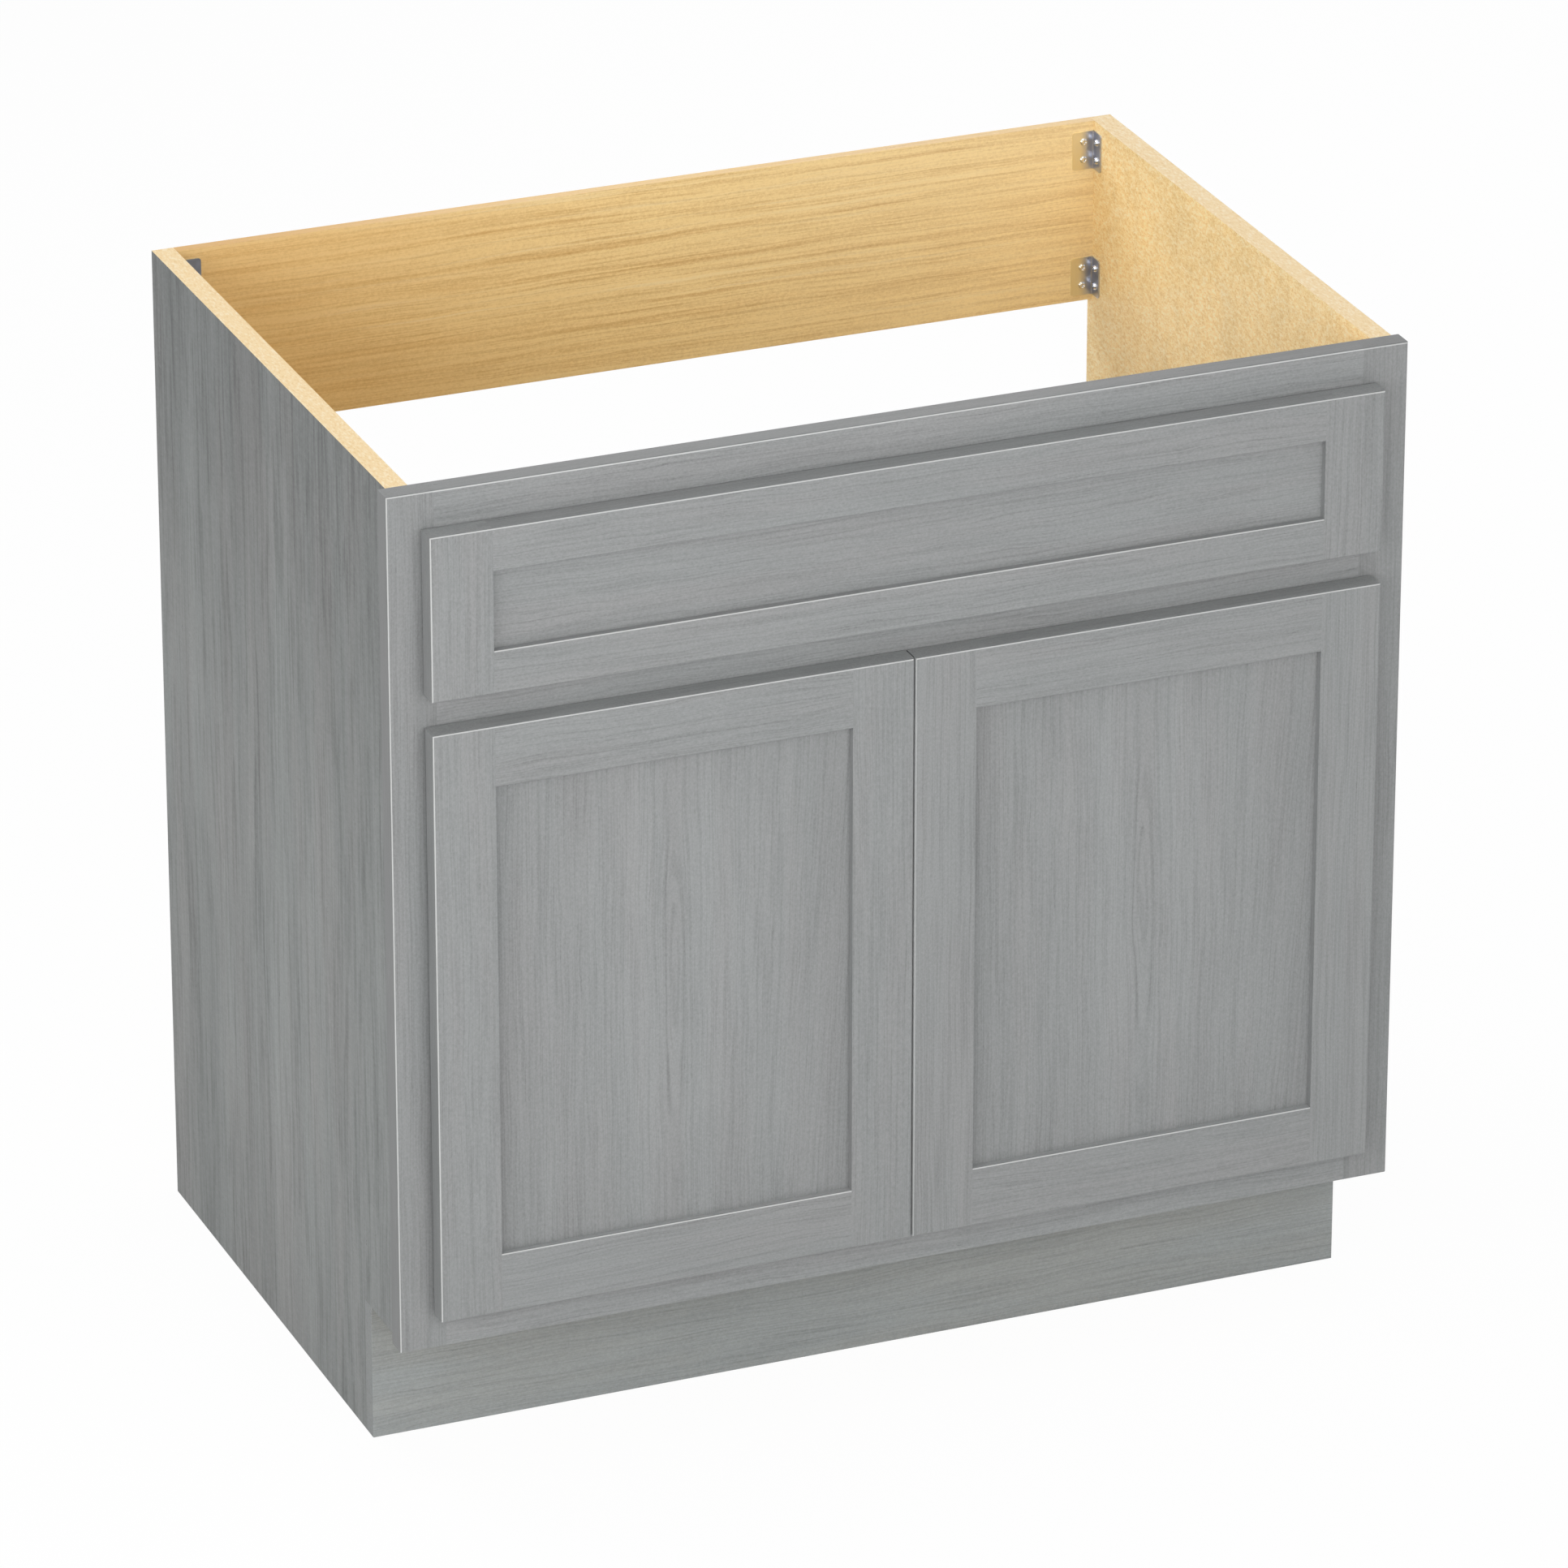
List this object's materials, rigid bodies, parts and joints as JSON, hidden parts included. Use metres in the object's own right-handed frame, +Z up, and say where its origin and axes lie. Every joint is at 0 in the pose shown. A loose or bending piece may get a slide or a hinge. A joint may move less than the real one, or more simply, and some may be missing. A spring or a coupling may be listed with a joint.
{
  "type": "sink base cabinet",
  "caption": "Face-frame sink base cabinet with a false drawer front over a pair of hinged recessed-panel doors, an open top and back, and a toe space.",
  "frame": {"origin": "on the floor, in the middle of the cabinet's width and of its whole depth, doors included", "axes": "+X to the viewer's right along the front, +Y from the doors to the wall, +Z up"},
  "size_m": [0.889, 0.6064, 0.8763],
  "materials": {
    "grey_door": "grey paint over wood, satin, with the grain showing faintly",
    "grey_frame": "grey paint over wood, satin; bare maple colour behind",
    "side_board": "grey wood-grain laminate outside, maple laminate inside, cream edges",
    "toe_board": "grey wood-grain laminate",
    "maple_board": "light maple laminate, satin",
    "batten_wood": "bare planed softwood",
    "zinc_steel": "zinc plated",
    "nickel_steel": "nickel plated",
    "screw_steel": "bright zinc plated",
    "bumper_rubber": "soft, milky"
  },
  "bodies": {
    "root": {"back_rail": "maple_board", "cleat_screws": "screw_steel", "corner_bracket_screws": "screw_steel", "false_front_bumpers": "bumper_rubber", "false_front_left_cleat": "batten_wood", "false_front_left_stile": "grey_door", "false_front_lower_rail": "grey_door", "false_front_panel": "grey_door", "false_front_right_cleat": "batten_wood", "false_front_right_stile": "grey_door", "false_front_upper_rail": "grey_door", "floor_panel": "maple_board", "frame_bottom_rail": "grey_frame", "frame_left_stile": "grey_frame", "frame_middle_rail": "grey_frame", "frame_right_stile": "grey_frame", "frame_top_rail": "grey_frame", "front_floor_support": "maple_board", "hinge_arm_screws": "screw_steel", "hinge_plate_screws": "screw_steel", "left_lower_corner_bracket": "zinc_steel", "left_lower_hinge_arm": "nickel_steel", "left_lower_hinge_plate": "nickel_steel", "left_side_panel": "side_board", "left_upper_corner_bracket": "zinc_steel", "left_upper_hinge_arm": "nickel_steel", "left_upper_hinge_plate": "nickel_steel", "rear_floor_support": "maple_board", "right_lower_corner_bracket": "zinc_steel", "right_lower_hinge_arm": "nickel_steel", "right_lower_hinge_plate": "nickel_steel", "right_side_panel": "side_board", "right_upper_corner_bracket": "zinc_steel", "right_upper_hinge_arm": "nickel_steel", "right_upper_hinge_plate": "nickel_steel", "toe_board": "toe_board"},
    "left_door": {"left_door_bumpers": "bumper_rubber", "left_door_hinge_stile": "grey_door", "left_door_lower_rail": "grey_door", "left_door_meeting_stile": "grey_door", "left_door_panel": "grey_door", "left_door_upper_rail": "grey_door", "left_hinge_cup_screws": "screw_steel", "left_hinge_pins": "nickel_steel", "left_lower_hinge_cup": "nickel_steel", "left_upper_hinge_cup": "nickel_steel"},
    "right_door": {"right_door_bumpers": "bumper_rubber", "right_door_hinge_stile": "grey_door", "right_door_lower_rail": "grey_door", "right_door_meeting_stile": "grey_door", "right_door_panel": "grey_door", "right_door_upper_rail": "grey_door", "right_hinge_cup_screws": "screw_steel", "right_hinge_pins": "nickel_steel", "right_lower_hinge_cup": "nickel_steel", "right_upper_hinge_cup": "nickel_steel"}
  },
  "joints": [
    {"name": "left_door_hinge", "type": "hinge", "parent": "root", "child": "left_door", "pos_m": [-0.4093, -0.2939, 0.4141], "axis": [0, 0, -1], "range_deg": [0, 105]},
    {"name": "right_door_hinge", "type": "hinge", "parent": "root", "child": "right_door", "pos_m": [0.4093, -0.2939, 0.4141], "axis": [0, 0, 1], "range_deg": [0, 105]}
  ]
}
